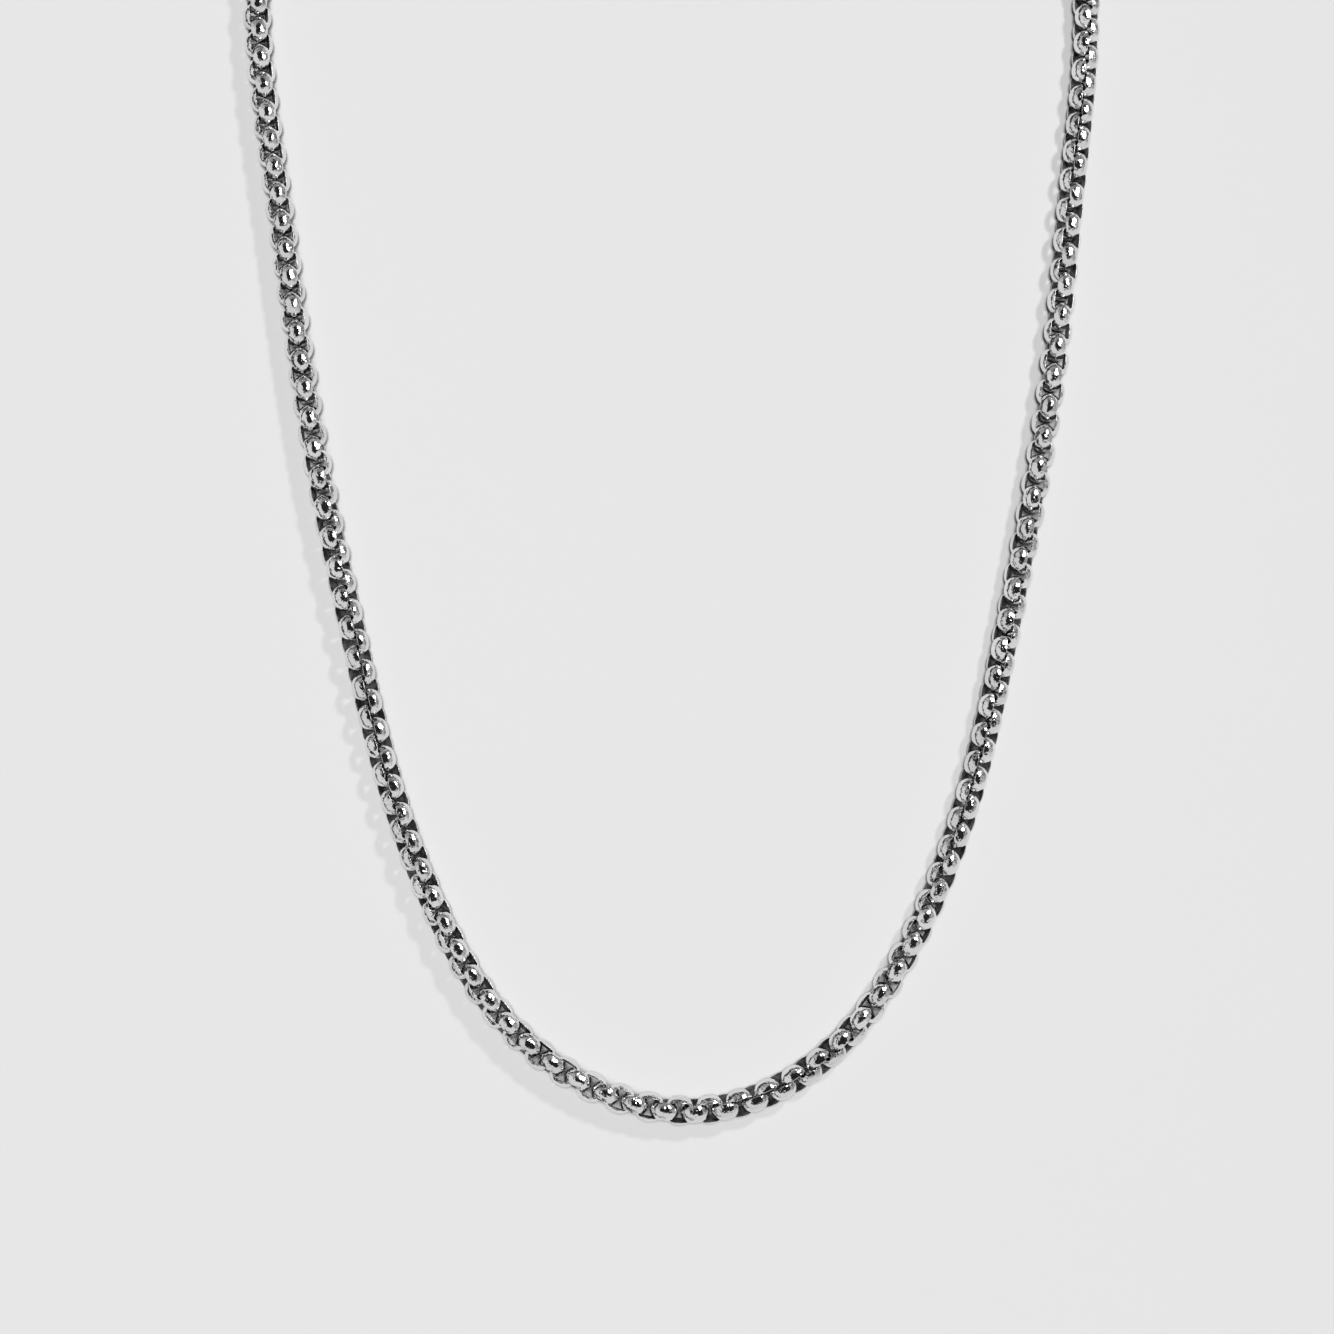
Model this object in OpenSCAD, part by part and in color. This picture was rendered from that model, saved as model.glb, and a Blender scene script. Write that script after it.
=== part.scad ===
// Box chain necklace, a closed loop that lies flat on a surface. Millimetres.
// X runs across the loop, +Y points to the clasp and Z up from the surface.

/* [Links] */
// Outside diameter of a link, which is how thick the chain is
link_diameter = 3.84; // [3.4:0.02:4.8]
// Thickness of a link's wall at its crown
wall_crown = 0.67; // [0.5:0.01:0.8]
// Thickness of that wall along its two edges
wall_edge = 0.06; // [0.04:0.01:0.12]
// Thickness that is left at the four corners of a link's square hole
wall_corner = 0.34; // [0.2:0.01:0.4]

/* [Ends] */
// Length of the clasp's barrel
barrel_length = 8; // [6:0.5:12]
// Radius of the rounding round both ends of the barrel
barrel_round = 0.8; // [0.3:0.1:1.2]
// Diameter of the wire of the clasp's two eyes
eye_wire = 0.8; // [0.6:0.05:1]
// Radius of the hole in an eye
eye_hole = 0.8; // [0.7:0.05:1.2]
// Diameter of the wire of an end ring
ring_wire = 0.6; // [0.5:0.05:0.7]

/* [Clearances] */
// Gap on each side of a link's band inside the next link's hole
side_gap = 0.2; // [0.16:0.01:0.35]
// Mean gap between the crowns of a link and the next but one
crown_gap = 0.27; // [0.22:0.01:0.4]
// Gap between an end ring and the metal that it passes
ring_gap = 0.12; // [0.1:0.01:0.2]

/* [Hidden] */
$fn = 48;

// Round-number points that steer the loop, from the clasp down the left strand and up the right
route = [
    [0.5, 96], [-21, 94.5], [-43.5, 88], [-59, 71.5], [-58.5, 50.5], [-55, 30], [-52, 9], [-48.5, -11.5],
    [-43.5, -32.5], [-39, -52.5], [-31, -73.5], [-20, -90], [1.5, -100], [22, -91.5], [34, -73.5],
    [41.5, -53.5], [46, -33], [50.5, -12], [54, 8.5], [56, 30], [59, 50], [59, 71.5], [44, 88],
    [21.5, 94.5]
];

// Share of the links against share of the way: the chain lies slacker in some stretches
slack = [
    [0, 0], [0.146, 0.147], [0.259, 0.257], [0.347, 0.348], [0.464, 0.462], [0.523, 0.521],
    [0.682, 0.677], [0.807, 0.809], [0.858, 0.858], [1, 1]
];

// Share of the links against how far the chain has turned about its own length, in degrees
turns = [
    [0, 0], [0.146, -20], [0.268, 0], [0.36, 45], [0.393, 55], [0.431, 67], [0.49, 90], [0.577, 180],
    [0.644, 225], [0.753, 270], [0.858, 330], [1, 270]
];

// A link's hole from middle to side and to corner, its band's width and the spacing of the links
hole_half = link_diameter / 2 - wall_crown;
hole_corner = link_diameter / 2 - wall_corner;
band_width = 2 * (hole_half - side_gap);
link_pitch = (link_diameter + crown_gap) / 2;

// The link's round back: its rise over the edges and its radius
back_rise = wall_crown - wall_edge;
back_radius = (band_width * band_width / 4 + back_rise * back_rise) / (2 * back_rise);

// An end ring sits behind the crown of the last link but one and just passes round the last band
ring_seat = (ring_wire - crown_gap) / 2 + ring_gap;
ring_room = hole_half - ring_seat;
ring_reach = ring_wire / 2 + ring_gap;
ring_radius = (ring_room * ring_room + band_width * band_width / 4 - ring_reach * ring_reach)
    / (2 * (ring_room - ring_reach));

// Distances from the middle of the clasp to an eye, an end ring and the middle of the last link
eye_radius = eye_hole + eye_wire / 2;
eye_at = barrel_length / 2 + eye_hole;
ring_at = eye_at + eye_hole - ring_reach + ring_radius;
link_at = ring_at + ring_radius + ring_seat;

// The loop as a smooth curve: place and direction at a point count along it
steps = 16;
route_count = len(route);

function turn_point(k) = route[(k + route_count) % route_count];

function curve_place(t) =
    let (k = floor(t), u = t - k)
    (pow(1 - u, 3) * turn_point(k - 1) + (3 * pow(u, 3) - 6 * u * u + 4) * turn_point(k)
    + (3 * u * u + 3 * u + 1 - 3 * pow(u, 3)) * turn_point(k + 1) + pow(u, 3) * turn_point(k + 2)) / 6;

function curve_way(t) =
    let (k = floor(t), u = t - k)
    (-pow(1 - u, 2) * turn_point(k - 1) + (3 * u * u - 4 * u) * turn_point(k)
    + (2 * u + 1 - 3 * u * u) * turn_point(k + 1) + u * u * turn_point(k + 2)) / 2;

spots = [for (k = [0 : route_count * steps]) curve_place(k / steps)];
last_spot = route_count * steps;
travel = [
    for (k = 0, s = 0; k <= last_spot; k = k + 1, s = s + (k > last_spot ? 0 : norm(spots[k] - spots[k - 1]))) s
];
travel_to_curve = [for (k = [0 : last_spot]) [travel[k], k / steps]];
loop_length = travel[last_spot];

// The middle of the loop's box goes to the origin
spots_x = [for (p = spots) p[0]];
spots_y = [for (p = spots) p[1]];
middle = [(min(spots_x) + max(spots_x)) / 2, (min(spots_y) + max(spots_y)) / 2];

// Links from one end ring to the other, an even number of them
chain_run = loop_length - 2 * link_at;
link_count = 2 * round((chain_run / link_pitch + 1) / 2);
half_count = link_count / 2;

function link_share(i) = i / (link_count - 1);
function link_travel(i) = link_at + chain_run * lookup(link_share(i), slack);
function link_turn(i) = lookup(link_share(i), turns);

// Height of the chain's middle over the surface, on which the lowest crowns rest
function off_square(a) = abs(a - 90 * round(a / 90));
function rest_height(a) = (link_diameter / 2 - back_radius) * cos(off_square(a)) + back_radius;

metal = [0.8, 0.81, 0.83];

// A closed link with its hole along Z: round outside with a domed back, square inside
module link() {
    difference() {
        rotate_extrude()
            intersection() {
                translate([link_diameter / 2 - back_radius, 0])
                    circle(r = back_radius, $fn = 96);
                translate([0, -band_width / 2])
                    square([link_diameter / 2, band_width]);
            }
        translate([0, 0, -link_diameter / 2])
            linear_extrude(link_diameter)
                intersection() {
                    square(2 * hole_half, center = true);
                    circle(r = hole_corner, $fn = 96);
                }
    }
}

// Puts a piece on the loop at a distance along it, at a height and turned about the loop's direction
module on_loop(s, height, turn) {
    t = lookup(s, travel_to_curve);
    place = curve_place(t) - middle;
    way = curve_way(t);
    translate([place[0], place[1], height])
        rotate([0, 0, atan2(way[1], way[0])])
            rotate([turn, 0, 0])
                children();
}

// Every second link stands at a right angle to the one before
module links(first, last) {
    for (i = [first : last])
        on_loop(link_travel(i), rest_height(link_turn(i)), link_turn(i) + (i % 2 == 0 ? 90 : 0))
            link();
}

module left_strand() {
    color(metal)
        links(0, half_count - 1);
}

module right_strand() {
    color(metal)
        links(half_count, link_count - 1);
}

// A soldered ring of round wire, lying level
module end_ring() {
    rotate_extrude()
        translate([ring_radius, 0])
            circle(d = ring_wire);
}

module left_end_ring() {
    color(metal)
        on_loop(ring_at, link_diameter / 2, 0)
            end_ring();
}

module right_end_ring() {
    color(metal)
        on_loop(loop_length - ring_at, link_diameter / 2, 0)
            end_ring();
}

// Half of the barrel's section from its middle line outward
module barrel_section() {
    r = link_diameter / 2;
    h = barrel_length / 2;
    square([r - barrel_round, h]);
    square([r, h - barrel_round]);
    translate([r - barrel_round, h - barrel_round])
        circle(r = barrel_round);
}

// A plain barrel as thick as the chain, with an upright eye at each end
module clasp() {
    color(metal)
        on_loop(0, link_diameter / 2, 0)
            for (side = [0, 180])
                rotate([0, 0, side]) {
                    rotate([0, 90, 0])
                        rotate_extrude()
                            barrel_section();
                    translate([eye_at, 0, 0])
                        rotate([90, 0, 0])
                            rotate_extrude()
                                translate([eye_radius, 0])
                                    circle(d = eye_wire);
                }
}

left_strand();
right_strand();
left_end_ring();
right_end_ring();
clasp();
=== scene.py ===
import math

import bpy
import numpy as np
from mathutils import Matrix, Vector


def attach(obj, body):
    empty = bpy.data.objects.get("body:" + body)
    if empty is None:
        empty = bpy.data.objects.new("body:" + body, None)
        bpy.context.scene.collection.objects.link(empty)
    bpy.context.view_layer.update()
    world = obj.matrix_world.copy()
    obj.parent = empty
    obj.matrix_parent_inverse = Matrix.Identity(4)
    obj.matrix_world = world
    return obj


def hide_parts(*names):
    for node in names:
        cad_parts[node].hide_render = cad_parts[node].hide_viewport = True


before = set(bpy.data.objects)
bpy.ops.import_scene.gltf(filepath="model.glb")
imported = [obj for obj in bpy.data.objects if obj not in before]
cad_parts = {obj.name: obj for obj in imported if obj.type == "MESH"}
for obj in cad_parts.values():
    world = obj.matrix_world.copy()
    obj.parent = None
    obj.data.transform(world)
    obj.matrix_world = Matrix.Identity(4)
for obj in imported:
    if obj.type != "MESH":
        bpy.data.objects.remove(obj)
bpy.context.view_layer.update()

# Box chain necklace lying on a pale surface. Metres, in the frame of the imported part.
MM = 0.001
rng = np.random.default_rng(seed=7)

# Sizes of a link, as in the part's source. Only its band is wider here, and thicker at its edges.
LINK_DIAMETER = 3.84 * MM
WALL_CROWN = 0.67 * MM
WALL_EDGE = 0.09 * MM
WALL_CORNER = 0.34 * MM
SIDE_GAP = 0.1 * MM
CROWN_GAP = 0.27 * MM
# The gap on each side of a band in the part's source, which sets the size of the end rings
SOURCE_SIDE_GAP = 0.2 * MM
# How full a link is: 2 gives a round back across its band and a round outline, and more a squarer one
BACK_POWER = 2.1
OUTLINE_POWER = 2.35
# Rounding that polishing leaves on a link's edges, and the least thickness of an edge
EDGE_ROUND = 0.04 * MM
LEAST_EDGE = 0.05 * MM

# A link's lip leads from its back over its edge into its hole.
# The edge's two corners, as shares of its thickness
LIP_CORNERS = (0.75, 0.25)
# How far the normals lean outward or inward at those corners, and sideways at the rim of the hole
LIP_LEAN = 0.15
RIM_LEAN = 0.4
# How deep in the hole the lip's last point lies, and how much each of its four points counts as inside
LIP_DEPTH = 4 * EDGE_ROUND
LIP_INSIDE = (0, 0.2, 0.6, 1)

# Points of a link's mesh along a side of its hole, along a cut corner and across its back
SIDE_POINTS = 7
CORNER_POINTS = 3
BACK_POINTS = 11
# Small angles for the slope of the outline and for telling two angles apart
SLOPE_ANGLE = 0.001
SAME_ANGLE = 1e-6
# Points across a band, of which the lowest one rests on the surface
REST_POINTS = 200

# The links are a little out of round: wider across the chain, and longer along it where there is room.
# The last ones at each end are plain, since they hold the end rings.
PRESS_ALONG = 1.03
PRESS_ACROSS = 1.03
LEAST_GAP = 0.1 * MM
PLAIN_END_LINKS = 2
# How far a link may lean out of line, in degrees
LEAN = 0.6
# How far the pattern of a link's steel may be moved, so that no two links show the same one
PATTERN_SHIFT = 50 * MM

# Sizes of the clasp and the end rings, as in the part's source
BARREL_LENGTH = 8 * MM
BARREL_ROUND = 0.8 * MM
EYE_WIRE = 0.8 * MM
EYE_HOLE = 0.8 * MM
RING_WIRE = 0.6 * MM
RING_GAP = 0.12 * MM
# Points of their meshes round an end ring, round the barrel and an eye, round a wire and along a rounding
RING_POINTS = 96
BARREL_POINTS = 64
WIRE_POINTS = 24
ROUND_POINTS = 9
# Edges of the clasp that are steeper than this look sharp
SHARP_ANGLE = math.radians(40)

# The points that steer the loop, as in the part's source
ROUTE = MM * np.array([
    (0.5, 96), (-21, 94.5), (-43.5, 88), (-59, 71.5), (-58.5, 50.5), (-55, 30), (-52, 9),
    (-48.5, -11.5), (-43.5, -32.5), (-39, -52.5), (-31, -73.5), (-20, -90), (1.5, -100),
    (22, -91.5), (34, -73.5), (41.5, -53.5), (46, -33), (50.5, -12), (54, 8.5), (56, 30),
    (59, 50), (59, 71.5), (44, 88), (21.5, 94.5),
])
ROUTE_STEPS = 16

# Share of the links against share of the way: the chain lies slacker in some stretches
SLACK = np.array([
    (0, 0), (0.146, 0.147), (0.259, 0.257), (0.347, 0.348), (0.464, 0.462), (0.523, 0.521),
    (0.682, 0.677), (0.807, 0.809), (0.858, 0.858), (1, 1),
])

# Share of the links against how far the chain has turned about its own length, in degrees
TURNS = np.array([
    (0, 0), (0.146, -20), (0.268, 0), (0.36, 45), (0.393, 55), (0.431, 67), (0.49, 90), (0.577, 180),
    (0.644, 225), (0.753, 270), (0.858, 330), (1, 270),
])

# Noise patterns of the steel and of what it mirrors: scale and detail
# The first pattern mottles both the steel's roughness and the painted shade inside the links
SMEARS_AND_SHADE_MOTTLE = (900.0, 3.0)
WAVES = (1100.0, 2.5)
LINES = (9000.0, 2.0)
MOTTLE = (5.0, 2.0)
RAGGED = (2.6, 2.0)

# Tones of the steel from link to link
STEEL_TONES = (0.74, 0.84)
# Tones of the painted shade inside the links' holes, mottled by noise, and the range of noise for them
INSIDE_SHADE_TONES = (0.12, 0.55)
TONE_RANGE = (0.4, 0.65)
# Roughness of the steel, the range of the smears' noise for it, and how much rougher it is inside the links
STEEL_ROUGHNESS = (0.04, 0.11)
ROUGHNESS_RANGE = (0.35, 0.7)
INSIDE_ROUGHNESS = 0.55
# Height of the waves from stamping, and their strength on the plain pieces and on the links
WAVE_HEIGHT = 0.2 * MM
WAVE_STRENGTHS = (0.07, 1.0)
# Height and strength of the fine polishing lines
LINE_HEIGHT = 0.0006 * MM
LINE_STRENGTH = 0.5

# The floor: its tone in the picture, its own white, its roughness and half its width
FLOOR_TONE = 0.81
FLOOR_WHITE = 0.3
FLOOR_ROUGHNESS = 0.9
FLOOR_HALF = 3.0
# The painted shade under the chain, in the floor's white and glow: how far it reaches, between which shares
# of open surroundings it fades, and between which shares of the floor's tone
SHADE_REACH = 2.1 * MM
SHADE_SAMPLES = 8
SHADE_OPEN = (0.25, 0.6)
SHADE_LEFT = (0.12, 1.0)

# The lamps: place, width, power, share of the floor's light at the middle of the loop, and the power of
# nearness that this light follows, which is higher straight overhead
KEY_PLACE = (0.195, 0.14, 0.26)
KEY_SIZE = 0.042
KEY_POWER = 0.952
KEY_SHARE = 0.21
KEY_NEARNESS = 3.0
FILL_PLACE = (0, 0, 1.2)
FILL_SIZE = 0.3
FILL_POWER = 28.8
FILL_SHARE = 0.75
FILL_NEARNESS = 4.0
# A lamp at the first one's place that only the steel mirrors
GLINT_SIZE = 0.2
GLINT_POWER = 0.5

# What the steel mirrors is a bright side and, on it, the three darker places that follow
BRIGHT_SIDE_TONE = 0.76
# A mottled grey side: its direction, the cosines between which it fades, its tones and their range of noise
GREY_SIDE = (0.5, 0.85, 0.12)
GREY_SIDE_EDGE = (-0.05, 0.5)
GREY_SIDE_TONES = (0.12, 0.5)
MOTTLE_RANGE = (0.4, 0.6)
# A dark patch overhead: its direction, the angles between which it fades, in degrees, and its tone
DARK_PATCH = (0.17, 0.1, 0.95)
DARK_PATCH_EDGE = (33, 37)
DARK_TONE = 0.02
# A dark strip low on the left: its direction, the angles and heights between which it fades, and its tone
STRIP_SIDE = (-1.0, 0.25, 0.0)
STRIP_SIDE_EDGE = (80, 110)
STRIP_HEIGHTS = (0.38, 0.3)
STRIP_TONE = 0.05
# How far the edges of the patch and the strip are ragged, and the range of noise for it
RAGGED_DEPTH = 0.09
RAGGED_RANGE = (0.3, 0.7)

# The camera, whose focal length is in the photo's pixels
CAMERA_FOCUS_PX = 2300
PHOTO_PX = 1334
SENSOR_MM = 36
CAMERA_TILT = math.radians(6)
CAMERA_PLACE = (-0.00067, -0.06921, 0.31527)
CAMERA_NEAR = 0.01

# What follows from the sizes of the links
hole_half = LINK_DIAMETER / 2 - WALL_CROWN
hole_corner = LINK_DIAMETER / 2 - WALL_CORNER
band_half = hole_half - SIDE_GAP
back_rise = WALL_CROWN - WALL_EDGE
link_pitch = (LINK_DIAMETER + CROWN_GAP) / 2

# An end ring sits behind the crown of the last link but one and just passes round the last band
ring_seat = (RING_WIRE - CROWN_GAP) / 2 + RING_GAP
ring_room = hole_half - ring_seat
ring_reach = RING_WIRE / 2 + RING_GAP
source_half = hole_half - SOURCE_SIDE_GAP
ring_radius = (ring_room ** 2 + source_half ** 2 - ring_reach ** 2) / (2 * (ring_room - ring_reach))

# Distances from the middle of the clasp to an eye, an end ring and the middle of the last link
eye_radius = EYE_HOLE + EYE_WIRE / 2
eye_at = BARREL_LENGTH / 2 + EYE_HOLE
ring_at = eye_at + EYE_HOLE - ring_reach + ring_radius
link_at = ring_at + ring_radius + ring_seat


# The loop as a smooth curve

def curve(count, way=False):
    """Place on the loop, or direction of it, at a point count along it."""
    k = math.floor(count)
    u = count - k
    before, here, after, beyond = (ROUTE[(k + i) % len(ROUTE)] for i in (-1, 0, 1, 2))
    if way:
        return (-(1 - u) ** 2 * before + (3 * u * u - 4 * u) * here
                + (2 * u + 1 - 3 * u * u) * after + u * u * beyond) / 2
    return ((1 - u) ** 3 * before + (3 * u ** 3 - 6 * u * u + 4) * here
            + (3 * u * u + 3 * u + 1 - 3 * u ** 3) * after + u ** 3 * beyond) / 6


counts = np.arange(len(ROUTE) * ROUTE_STEPS + 1) / ROUTE_STEPS
spots = np.array([curve(count) for count in counts])
travel = np.concatenate([[0], np.cumsum(np.linalg.norm(np.diff(spots, axis=0), axis=1))])
loop_length = travel[-1]
middle = (spots.min(axis=0) + spots.max(axis=0)) / 2
chain_run = loop_length - 2 * link_at
link_count = 2 * round((chain_run / link_pitch + 1) / 2)
half_count = link_count // 2


def link_travel(i):
    """How far along the loop a link lies, or would lie before the first or after the last."""
    share = i / (link_count - 1)
    return link_at + chain_run * (np.interp(share, *SLACK.T) + min(share, 0) + max(share - 1, 0))


def link_turn(i):
    """How far the chain has turned about its own length at a link, in degrees."""
    return float(np.interp(i / (link_count - 1), *TURNS.T))


def outline(angle):
    """Radius of a link round its hole's axis: fuller between the crowns than a circle."""
    fuller = abs(math.cos(angle)) ** OUTLINE_POWER + abs(math.sin(angle)) ** OUTLINE_POWER
    return LINK_DIAMETER / 2 * fuller ** (-1 / OUTLINE_POWER)


def back_drop(z):
    """How far a link's round back lies below its crown at a distance from the middle of its band."""
    return back_rise * np.abs(z / band_half) ** BACK_POWER


def rest_height(turn):
    """Height of a link's middle over the surface, with its lowest crown on it."""
    off_square = math.radians(abs(turn - 90 * round(turn / 90)))
    z = np.linspace(0, band_half, REST_POINTS)
    radius = LINK_DIAMETER / 2 - back_drop(z)
    return float(np.max(radius * math.cos(off_square) + z * math.sin(off_square)))


def press(i):
    """How much a link grows along and across the chain: less where the links lie close together."""
    if min(i, link_count - 1 - i) < PLAIN_END_LINKS:
        return 1.0, 1.0
    room = link_travel(i + 1) - link_travel(i - 1)
    return min(PRESS_ALONG, (room - LEAST_GAP) / LINK_DIAMETER), PRESS_ACROSS


def on_loop(distance, height, turn, along=1.0, across=1.0):
    """Matrix that puts a piece on the loop, turned about the loop's direction and pressed level."""
    count = np.interp(distance, travel, counts)
    place = curve(count) - middle
    way = curve(count, way=True)
    return (Matrix.Translation((*place, height))
            @ Matrix.Rotation(math.atan2(way[1], way[0]), 4, "Z")
            @ Matrix.Diagonal((along, across, 1, 1))
            @ Matrix.Rotation(math.radians(turn), 4, "X"))


# Shapes of the pieces

def torus_grid(points, normals):
    """Flat lists of the points and normals of a grid that closes both ways, and its faces."""
    rows, columns = points.shape[:2]
    i, j = np.meshgrid(np.arange(rows), np.arange(columns), indexing="ij")
    here = i * columns + j
    ahead = (i + 1) % rows * columns + j
    beside = i * columns + (j + 1) % columns
    across = (i + 1) % rows * columns + (j + 1) % columns
    faces = np.stack([here, ahead, across, beside], axis=-1).reshape(-1, 4)
    return points.reshape(-1, 3), normals.reshape(-1, 3), faces


def link_section(angle, corner):
    """A link's section at an angle: rows of radius, height, the normal's three parts and share inside."""
    off_side = (angle + math.pi / 4) % (math.pi / 2) - math.pi / 4
    wall = min(hole_half / math.cos(off_side), hole_corner)
    at_side = abs(off_side) < corner + SAME_ANGLE
    crown = outline(angle)
    swing = (outline(angle + SLOPE_ANGLE) - outline(angle - SLOPE_ANGLE)) / (2 * SLOPE_ANGLE) / crown
    edge = band_half * min(1, ((crown - wall - LEAST_EDGE) / back_rise) ** (1 / BACK_POWER))
    out, along = (-math.cos(off_side), math.sin(off_side)) if at_side else (-1, 0)

    rows = []
    for z in (edge - EDGE_ROUND / 2) * np.sin(np.linspace(-math.pi / 2, math.pi / 2, BACK_POINTS)):
        steep = back_rise * BACK_POWER / band_half * abs(z / band_half) ** (BACK_POWER - 1)
        rows.append((crown - back_drop(z), z, 1, -swing, math.copysign(steep, z), 0))
    thick = crown - back_drop(edge) - wall
    outer, inner = (wall + share * thick for share in LIP_CORNERS)
    for sign in (1, -1):
        lip = [(outer, sign * edge, LIP_LEAN, 0, sign),
               (inner, sign * edge, LIP_LEAN * out, LIP_LEAN * along, sign),
               (wall, sign * (edge - EDGE_ROUND), out, along, sign * RIM_LEAN),
               (wall, sign * (edge - LIP_DEPTH), out, along, 0)]
        rows += [(*row, inside) for row, inside in zip(lip, LIP_INSIDE)][::sign]
    return np.array(rows)


def link_grid():
    """One link with its hole along Z, domed outside and square inside, with rounded edges."""
    corner = math.acos(hole_half / hole_corner)
    side = np.linspace(-corner, corner, SIDE_POINTS + 1)[:-1]
    cut = np.linspace(corner, math.pi / 2 - corner, CORNER_POINTS + 1)[:-1]
    angles = np.concatenate([np.concatenate([side, cut]) + k * math.pi / 2 for k in range(4)])
    points, normals, inside = [], [], []
    for angle in angles:
        radius, z, out, along, up, section_inside = link_section(angle, corner).T
        cos, sin = math.cos(angle), math.sin(angle)
        points.append(np.stack([radius * cos, radius * sin, z], axis=1))
        turned = np.stack([out * cos - along * sin, out * sin + along * cos, up], axis=1)
        normals.append(turned / np.linalg.norm(turned, axis=1, keepdims=True))
        inside.append(section_inside)
    return *torus_grid(np.array(points), np.array(normals)), np.concatenate(inside)


def ring_grid(radius, wire, around):
    """A round wire ring about Z."""
    a, b = np.meshgrid(2 * np.pi * np.arange(around) / around,
                       2 * np.pi * np.arange(WIRE_POINTS) / WIRE_POINTS, indexing="ij")
    normals = np.stack([np.cos(a) * np.cos(b), np.sin(a) * np.cos(b), np.sin(b)], axis=-1)
    centres = np.stack([np.cos(a), np.sin(a), 0 * a], axis=-1) * radius
    return torus_grid(centres + normals * wire / 2, normals)


def barrel_shape():
    """Points and faces of the clasp's barrel, which lies along X and has rounded ends."""
    half_flat, end_radius = BARREL_LENGTH / 2 - BARREL_ROUND, LINK_DIAMETER / 2 - BARREL_ROUND
    end = [(half_flat + BARREL_ROUND * math.sin(a), end_radius + BARREL_ROUND * math.cos(a))
           for a in np.linspace(0, math.pi / 2, ROUND_POINTS)]
    section = [(-x, r) for x, r in end[::-1]] + end
    n = BARREL_POINTS
    angles = 2 * np.pi * np.arange(n) / n
    points = [(x, r * math.cos(a), r * math.sin(a)) for x, r in section for a in angles]
    faces = [(k * n + i, k * n + (i + 1) % n, (k + 1) * n + (i + 1) % n, (k + 1) * n + i)
             for k in range(len(section) - 1) for i in range(n)]
    faces += [range(n), range(len(points) - 1, len(points) - 1 - n, -1)]
    return points, faces


def eyes_shape():
    """Points and faces of the clasp's two eyes, which stand upright at the ends of its barrel."""
    points, _, faces = ring_grid(eye_radius, EYE_WIRE, BARREL_POINTS)
    x, y, z = points.T
    upright = [np.stack([x + side * eye_at, z, -y], axis=1) for side in (-1, 1)]
    return np.concatenate(upright).tolist(), np.concatenate([faces, faces + len(points)]).tolist()


# Making of the pieces

def placed(points, normals, matrix):
    """Points and normals moved by a matrix."""
    m = np.array(matrix)
    turned = normals @ np.linalg.inv(m[:3, :3])
    return points @ m[:3, :3].T + m[:3, 3], turned / np.linalg.norm(turned, axis=1, keepdims=True)


def new_object(name, points, faces):
    """A mesh object of the scene."""
    mesh = bpy.data.meshes.new(name)
    mesh.from_pydata(points, [], faces)
    made = bpy.data.objects.new(name, mesh)
    bpy.context.scene.collection.objects.link(made)
    return made


def add_numbers(mesh, label, values):
    """Named numbers or vectors on a mesh's points, for its material."""
    kind, key = ("FLOAT_VECTOR", "vector") if values.ndim == 2 else ("FLOAT", "value")
    mesh.attributes.new(label, kind, "POINT").data.foreach_set(key, values.ravel())


def make_piece(name, points, normals, faces, numbers, metal):
    """A mesh object on the root body, with smooth normals and named numbers on its points."""
    piece = new_object(name, points.tolist(), faces.tolist())
    mesh = piece.data
    mesh.shade_smooth()
    mesh.normals_split_custom_set_from_vertices(normals.tolist())
    for label, values in numbers.items():
        add_numbers(mesh, label, values)
    mesh.materials.append(metal)
    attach(piece, "root")
    return piece


def strand(name, first, last, metal):
    """The links of one half of the chain as a single mesh."""
    points, normals, faces, inside = link_grid()
    all_points, all_normals, all_faces, local, tone = [], [], [], [], []
    for n, i in enumerate(range(first, last)):
        turn = link_turn(i) + rng.uniform(-LEAN, LEAN)
        quarter = 90 if i % 2 == 0 else 0
        place = on_loop(link_travel(i), rest_height(turn), turn + quarter, *press(i))
        lean = Matrix.Rotation(math.radians(rng.uniform(-LEAN, LEAN)), 4, "Y")
        moved, turned = placed(points, normals, place @ lean)
        all_points.append(moved)
        all_normals.append(turned)
        all_faces.append(faces + n * len(points))
        local.append(points + rng.uniform(-1, 1, 3) * PATTERN_SHIFT)
        tone.append(np.full(len(points), rng.uniform()))
    numbers = {"in_link": np.concatenate(local), "tone": np.concatenate(tone),
               "inside": np.tile(inside, last - first),
               "stamped": np.ones(len(points) * (last - first))}
    return make_piece(name, np.concatenate(all_points), np.concatenate(all_normals),
                      np.concatenate(all_faces), numbers, metal)


def joined_clasp(metal):
    """The barrel with an eye at each end, joined to a single skin."""
    clasp = new_object("clasp_barrel", *barrel_shape())
    eyes = new_object("eyes", *eyes_shape())
    union = clasp.modifiers.new("eyes", "BOOLEAN")
    union.operation = "UNION"
    union.object = eyes
    bpy.context.view_layer.update()
    graph = bpy.context.evaluated_depsgraph_get()
    whole = bpy.data.meshes.new_from_object(clasp.evaluated_get(graph))
    clasp.modifiers.remove(union)
    barrel = clasp.data
    clasp.data = whole
    bpy.data.objects.remove(eyes)
    bpy.data.meshes.remove(barrel)

    whole.name = "clasp_barrel"
    whole.shade_smooth()
    whole.set_sharp_from_angle(angle=SHARP_ANGLE)
    local = np.zeros(len(whole.vertices) * 3)
    whole.vertices.foreach_get("co", local)
    add_numbers(whole, "in_link", local.reshape(-1, 3))
    whole.transform(on_loop(0, LINK_DIAMETER / 2, 0))
    whole.materials.clear()
    whole.materials.append(metal)
    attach(clasp, "root")
    return clasp


# Nodes of the materials and the surroundings. A value is a number, a vector or another node's output.

def put(tree, socket, value):
    """Gives a value to a socket."""
    if isinstance(value, bpy.types.NodeSocket):
        tree.links.new(value, socket)
    else:
        socket.default_value = value


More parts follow.
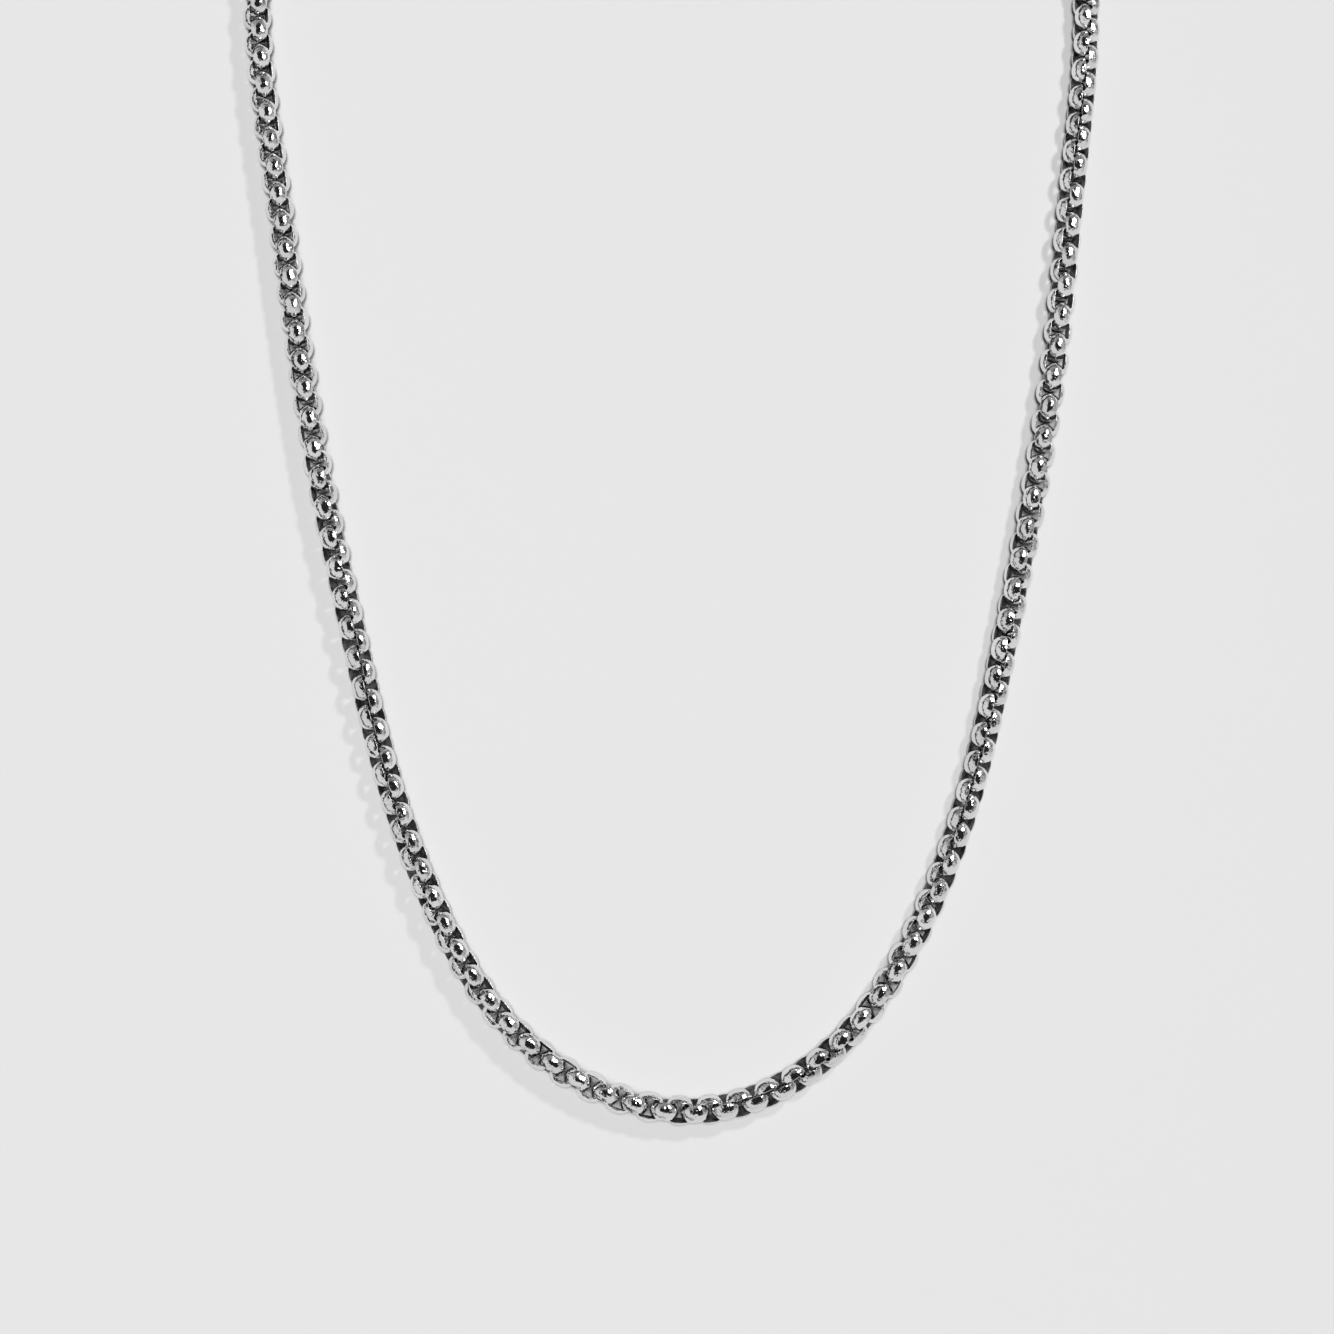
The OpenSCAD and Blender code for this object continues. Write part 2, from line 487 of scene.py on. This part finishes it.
def calculate(tree, operation, *values):
    """One step of arithmetic on values."""
    node = tree.nodes.new("ShaderNodeMath")
    node.operation = operation
    for socket, value in zip(node.inputs, values):
        put(tree, socket, value)
    return node.outputs["Value"]


def mapped(tree, value, before, after=(0, 1), smooth=False):
    """A value that runs between two numbers, mapped to run between two others and no farther."""
    node = tree.nodes.new("ShaderNodeMapRange")
    node.interpolation_type = "SMOOTHSTEP" if smooth else "LINEAR"
    put(tree, node.inputs["Value"], value)
    for name, number in zip(("From Min", "From Max", "To Min", "To Max"), (*before, *after)):
        put(tree, node.inputs[name], number)
    return node.outputs["Result"]


def blend(tree, factor, below, above):
    """Below where the factor is 0 and above where it is 1."""
    node = tree.nodes.new("ShaderNodeMix")
    node.data_type = "FLOAT"
    for index, value in ((0, factor), (2, below), (3, above)):
        put(tree, node.inputs[index], value)
    return node.outputs[0]


def noise(tree, place, pattern):
    """A noise pattern over places or directions."""
    node = tree.nodes.new("ShaderNodeTexNoise")
    for name, value in zip(("Vector", "Scale", "Detail"), (place, *pattern)):
        put(tree, node.inputs[name], value)
    return node.outputs["Fac"]


def numbers_on_points(tree, label, output="Fac"):
    """The named numbers that a mesh has on its points."""
    node = tree.nodes.new("ShaderNodeAttribute")
    node.attribute_name = label
    return node.outputs[output]


def bump(tree, pattern, height, strength, normal=None):
    """The normal of a surface that a pattern raises by a height, on top of another normal."""
    node = tree.nodes.new("ShaderNodeBump")
    for name, value in (("Height", pattern), ("Distance", height), ("Strength", strength)):
        put(tree, node.inputs[name], value)
    if normal is not None:
        put(tree, node.inputs["Normal"], normal)
    return node.outputs["Normal"]


def falloff(tree, lamp_place, power, share):
    """The light that a lamp gives to the floor, as its share at the middle and a power of nearness."""
    away = tree.nodes.new("ShaderNodeVectorMath")
    away.operation = "DISTANCE"
    put(tree, away.inputs[0], tree.nodes.new("ShaderNodeNewGeometry").outputs["Position"])
    put(tree, away.inputs[1], lamp_place)
    near = calculate(tree, "DIVIDE", Vector(lamp_place).length, away.outputs["Value"])
    return calculate(tree, "MULTIPLY", calculate(tree, "POWER", near, power), share)


def closeness(tree, direction, centre):
    """Cosine of the angle between a direction and the middle of a place in the surroundings."""
    node = tree.nodes.new("ShaderNodeVectorMath")
    node.operation = "DOT_PRODUCT"
    put(tree, node.inputs[0], direction)
    put(tree, node.inputs[1], Vector(centre).normalized())
    return node.outputs["Value"]


def patch(tree, direction, centre, edge, wobble=0.0):
    """1 in a round patch of the surroundings, falling to 0 between two angles in degrees."""
    near = calculate(tree, "ADD", closeness(tree, direction, centre), wobble)
    inner, outer = (math.cos(math.radians(angle)) for angle in edge)
    return mapped(tree, near, (outer, inner), smooth=True)


# Materials

def new_material(name):
    """A material, its node tree and its shader's sockets."""
    material = bpy.data.materials.new(name)
    material.use_nodes = True
    return material, material.node_tree, material.node_tree.nodes["Principled BSDF"].inputs


def polished_steel():
    """Polished steel: waves from stamping, fine polishing lines, and inside the links more roughness and
    mottled painted shade.
    """
    metal, tree, shader = new_material("polished_steel")
    place = numbers_on_points(tree, "in_link", "Vector")
    inside = numbers_on_points(tree, "inside")
    smears_and_shade_mottle = noise(tree, place, SMEARS_AND_SHADE_MOTTLE)
    outer_tone = mapped(tree, numbers_on_points(tree, "tone"), (0, 1), STEEL_TONES)
    inner_painted_shade = mapped(tree, smears_and_shade_mottle, TONE_RANGE, INSIDE_SHADE_TONES)
    roughness = mapped(tree, smears_and_shade_mottle, ROUGHNESS_RANGE, STEEL_ROUGHNESS)
    strength = mapped(tree, numbers_on_points(tree, "stamped"), (0, 1), WAVE_STRENGTHS)
    waves = bump(tree, noise(tree, place, WAVES), WAVE_HEIGHT, strength)
    lines = bump(tree, noise(tree, place, LINES), LINE_HEIGHT, LINE_STRENGTH, waves)
    put(tree, shader["Metallic"], 1.0)
    # Painted shade: inside the links' holes the base colour darkens to a mottled dark grey
    put(tree, shader["Base Color"], blend(tree, inside, outer_tone, inner_painted_shade))
    put(tree, shader["Roughness"], calculate(tree, "MULTIPLY_ADD", inside, INSIDE_ROUGHNESS, roughness))
    put(tree, shader["Normal"], lines)
    return metal


def pale_floor():
    """A white board that is lit evenly: it glows by what the lamps leave out farther from them."""
    board, tree, shader = new_material("pale_floor")
    lit = calculate(tree, "ADD", falloff(tree, KEY_PLACE, KEY_NEARNESS, KEY_SHARE),
                    falloff(tree, FILL_PLACE, FILL_NEARNESS, FILL_SHARE))
    glow = mapped(tree, lit, (0, 1), (FLOOR_TONE, 0))
    white = calculate(tree, "DIVIDE", FLOOR_WHITE, calculate(tree, "MAXIMUM", lit, 1.0))

    # Painted shade: the floor's white and glow darken where the chain closes round a spot of the floor
    nearby = tree.nodes.new("ShaderNodeAmbientOcclusion")
    nearby.samples = SHADE_SAMPLES
    put(tree, nearby.inputs["Distance"], SHADE_REACH)
    shade = mapped(tree, nearby.outputs["AO"], SHADE_OPEN, SHADE_LEFT, smooth=True)
    put(tree, shader["Roughness"], FLOOR_ROUGHNESS)
    put(tree, shader["Specular IOR Level"], 0.0)
    put(tree, shader["Emission Color"], (1, 1, 1, 1))
    put(tree, shader["Emission Strength"], calculate(tree, "MULTIPLY", glow, shade))
    put(tree, shader["Base Color"], calculate(tree, "MULTIPLY", white, shade))
    return board


# Surroundings, lamps and camera

def make_floor():
    """A wide board under the chain."""
    h = FLOOR_HALF
    floor = new_object("floor", [(-h, -h, 0), (h, -h, 0), (h, h, 0), (-h, h, 0)], [(0, 1, 2, 3)])
    floor.data.materials.append(pale_floor())


def make_world():
    """What the steel mirrors. The floor gets no light from it, and past the floor it has the floor's tone."""
    world = bpy.data.worlds.new("studio")
    bpy.context.scene.world = world
    world.use_nodes = True
    world.cycles.sampling_method = "NONE"
    tree = world.node_tree
    direction = tree.nodes.new("ShaderNodeTexCoord").outputs["Generated"]
    wobble = mapped(tree, noise(tree, direction, RAGGED), RAGGED_RANGE, (-RAGGED_DEPTH, RAGGED_DEPTH))

    greyer = mapped(tree, closeness(tree, direction, GREY_SIDE), GREY_SIDE_EDGE, smooth=True)
    grey = mapped(tree, noise(tree, direction, MOTTLE), MOTTLE_RANGE, GREY_SIDE_TONES)
    tone = blend(tree, greyer, BRIGHT_SIDE_TONE, grey)

    tone = blend(tree, patch(tree, direction, DARK_PATCH, DARK_PATCH_EDGE, wobble), tone, DARK_TONE)

    parts = tree.nodes.new("ShaderNodeSeparateXYZ")
    put(tree, parts.inputs["Vector"], direction)
    height = calculate(tree, "ADD", parts.outputs["Z"], wobble)
    strip = calculate(tree, "MULTIPLY", mapped(tree, height, STRIP_HEIGHTS, smooth=True),
                      patch(tree, direction, STRIP_SIDE, STRIP_SIDE_EDGE))
    tone = blend(tree, strip, tone, STRIP_TONE)

    path = tree.nodes.new("ShaderNodeLightPath")
    from_floor = calculate(tree, "GREATER_THAN", path.outputs["Diffuse Depth"], 0.5)
    tone = blend(tree, from_floor, tone, 0.0)
    tone = blend(tree, path.outputs["Is Camera Ray"], tone, FLOOR_TONE)
    put(tree, tree.nodes["Background"].inputs["Color"], tone)


def make_lamp(name, place, size, power, mirrored):
    """A round lamp aimed at the middle of the loop, seen by the floor or mirrored in the steel."""
    data = bpy.data.lights.new(name, "AREA")
    data.shape = "DISK"
    data.size = size
    data.energy = power
    lamp = bpy.data.objects.new(name, data)
    lamp.location = place
    lamp.rotation_euler = Vector(place).to_track_quat("Z", "Y").to_euler()
    lamp.visible_glossy = mirrored
    lamp.visible_diffuse = not mirrored
    bpy.context.scene.collection.objects.link(lamp)


def make_camera():
    """The camera at the photo's angle and distance."""
    lens = bpy.data.cameras.new("camera")
    lens.sensor_width = SENSOR_MM
    lens.lens = SENSOR_MM * CAMERA_FOCUS_PX / PHOTO_PX
    lens.clip_start = CAMERA_NEAR
    camera = bpy.data.objects.new("camera", lens)
    camera.location = CAMERA_PLACE
    camera.rotation_euler = (CAMERA_TILT, 0, 0)
    bpy.context.scene.collection.objects.link(camera)
    bpy.context.scene.camera = camera


# The chain, its end rings and the clasp

steel = polished_steel()
left = strand("left_strand_links", 0, half_count, steel)
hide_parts("left_strand")
right = strand("right_strand_links", half_count, link_count, steel)
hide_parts("right_strand")

ring_points, ring_normals, ring_faces = ring_grid(ring_radius, RING_WIRE, RING_POINTS)
for side, distance in (("left", ring_at), ("right", loop_length - ring_at)):
    moved, turned = placed(ring_points, ring_normals, on_loop(distance, LINK_DIAMETER / 2, 0))
    ring = make_piece(side + "_end_ring_wire", moved, turned, ring_faces, {"in_link": ring_points}, steel)
    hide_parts(side + "_end_ring")

clasp = joined_clasp(steel)
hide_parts("clasp")

# The stage

make_floor()
make_world()
make_lamp("key", KEY_PLACE, KEY_SIZE, KEY_POWER, mirrored=False)
make_lamp("fill", FILL_PLACE, FILL_SIZE, FILL_POWER, mirrored=False)
make_lamp("glint", KEY_PLACE, GLINT_SIZE, GLINT_POWER, mirrored=True)
make_camera()
bpy.context.scene.view_settings.view_transform = "Standard"
